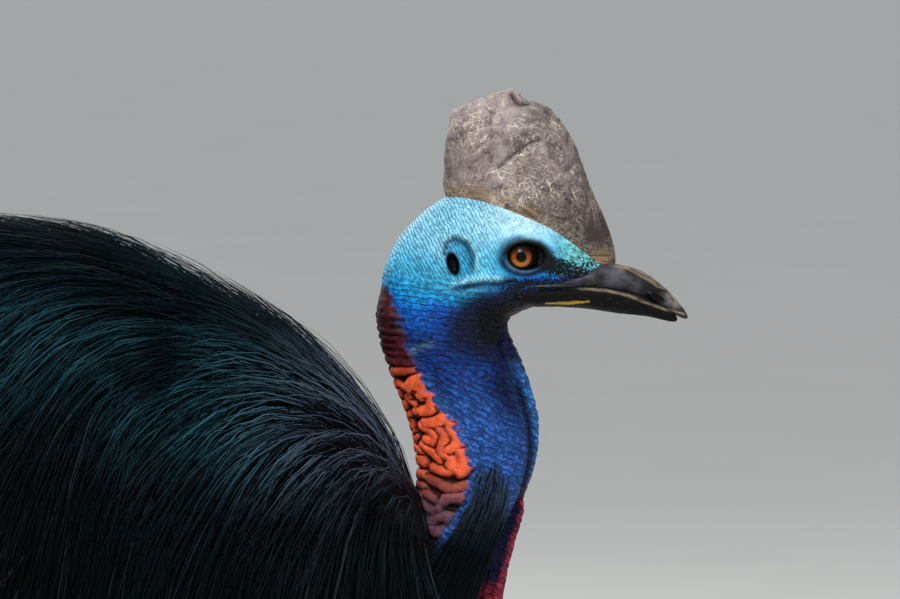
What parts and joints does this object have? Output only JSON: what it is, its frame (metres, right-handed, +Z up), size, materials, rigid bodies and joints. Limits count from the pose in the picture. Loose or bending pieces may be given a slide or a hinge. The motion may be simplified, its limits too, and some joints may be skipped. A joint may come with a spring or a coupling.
{
  "type": "southern cassowary",
  "caption": "Life-size still model of a standing southern cassowary with a low S-curved neck, tall casque, wattles and a shaggy black coat.",
  "frame": {"origin": "middle of the bird's outline, on the floor that both feet stand on", "axes": "+X the way the bird faces, +Y towards its left side, +Z up"},
  "size_m": [1.0196, 0.4332, 1.1095],
  "materials": {
    "head_skin": "finely wrinkled bare skin, pale blue",
    "neck_skin": "wrinkled bare skin, deep blue, orange-red folds on the nape",
    "wattle_skin": "soft folded skin, dull red",
    "casque_horn": "scuffed grey-brown keratin",
    "bill_horn": "satin black-grey horn",
    "eyeball": "wet, amber iris",
    "coat": "glossy black hair-like feathers",
    "wing_quill": "smooth black keratin quills",
    "leg_skin": "scaled grey-olive skin",
    "claw_horn": "dark polished claw"
  },
  "bodies": {
    "root": {"head": "head_skin", "casque": "casque_horn", "bill_upper": "bill_horn", "bill_lower": "bill_horn", "eye_right": "eyeball", "eye_left": "eyeball", "neck_upper": "neck_skin", "neck_lower": "neck_skin", "wattle_right": "wattle_skin", "wattle_left": "wattle_skin", "torso": "coat", "tail": "coat", "wing_right": "wing_quill", "wing_left": "wing_quill", "thigh_right": "coat", "thigh_left": "coat", "shank_right": "leg_skin", "shank_left": "leg_skin", "tarsus_right": "leg_skin", "tarsus_left": "leg_skin", "toe_middle_right": "leg_skin", "toe_outer_right": "leg_skin", "toe_inner_right": "leg_skin", "toe_middle_left": "leg_skin", "toe_outer_left": "leg_skin", "toe_inner_left": "leg_skin", "claw_middle_right": "claw_horn", "claw_outer_right": "claw_horn", "claw_inner_right": "claw_horn", "claw_middle_left": "claw_horn", "claw_outer_left": "claw_horn", "claw_inner_left": "claw_horn"}
  },
  "joints": []
}
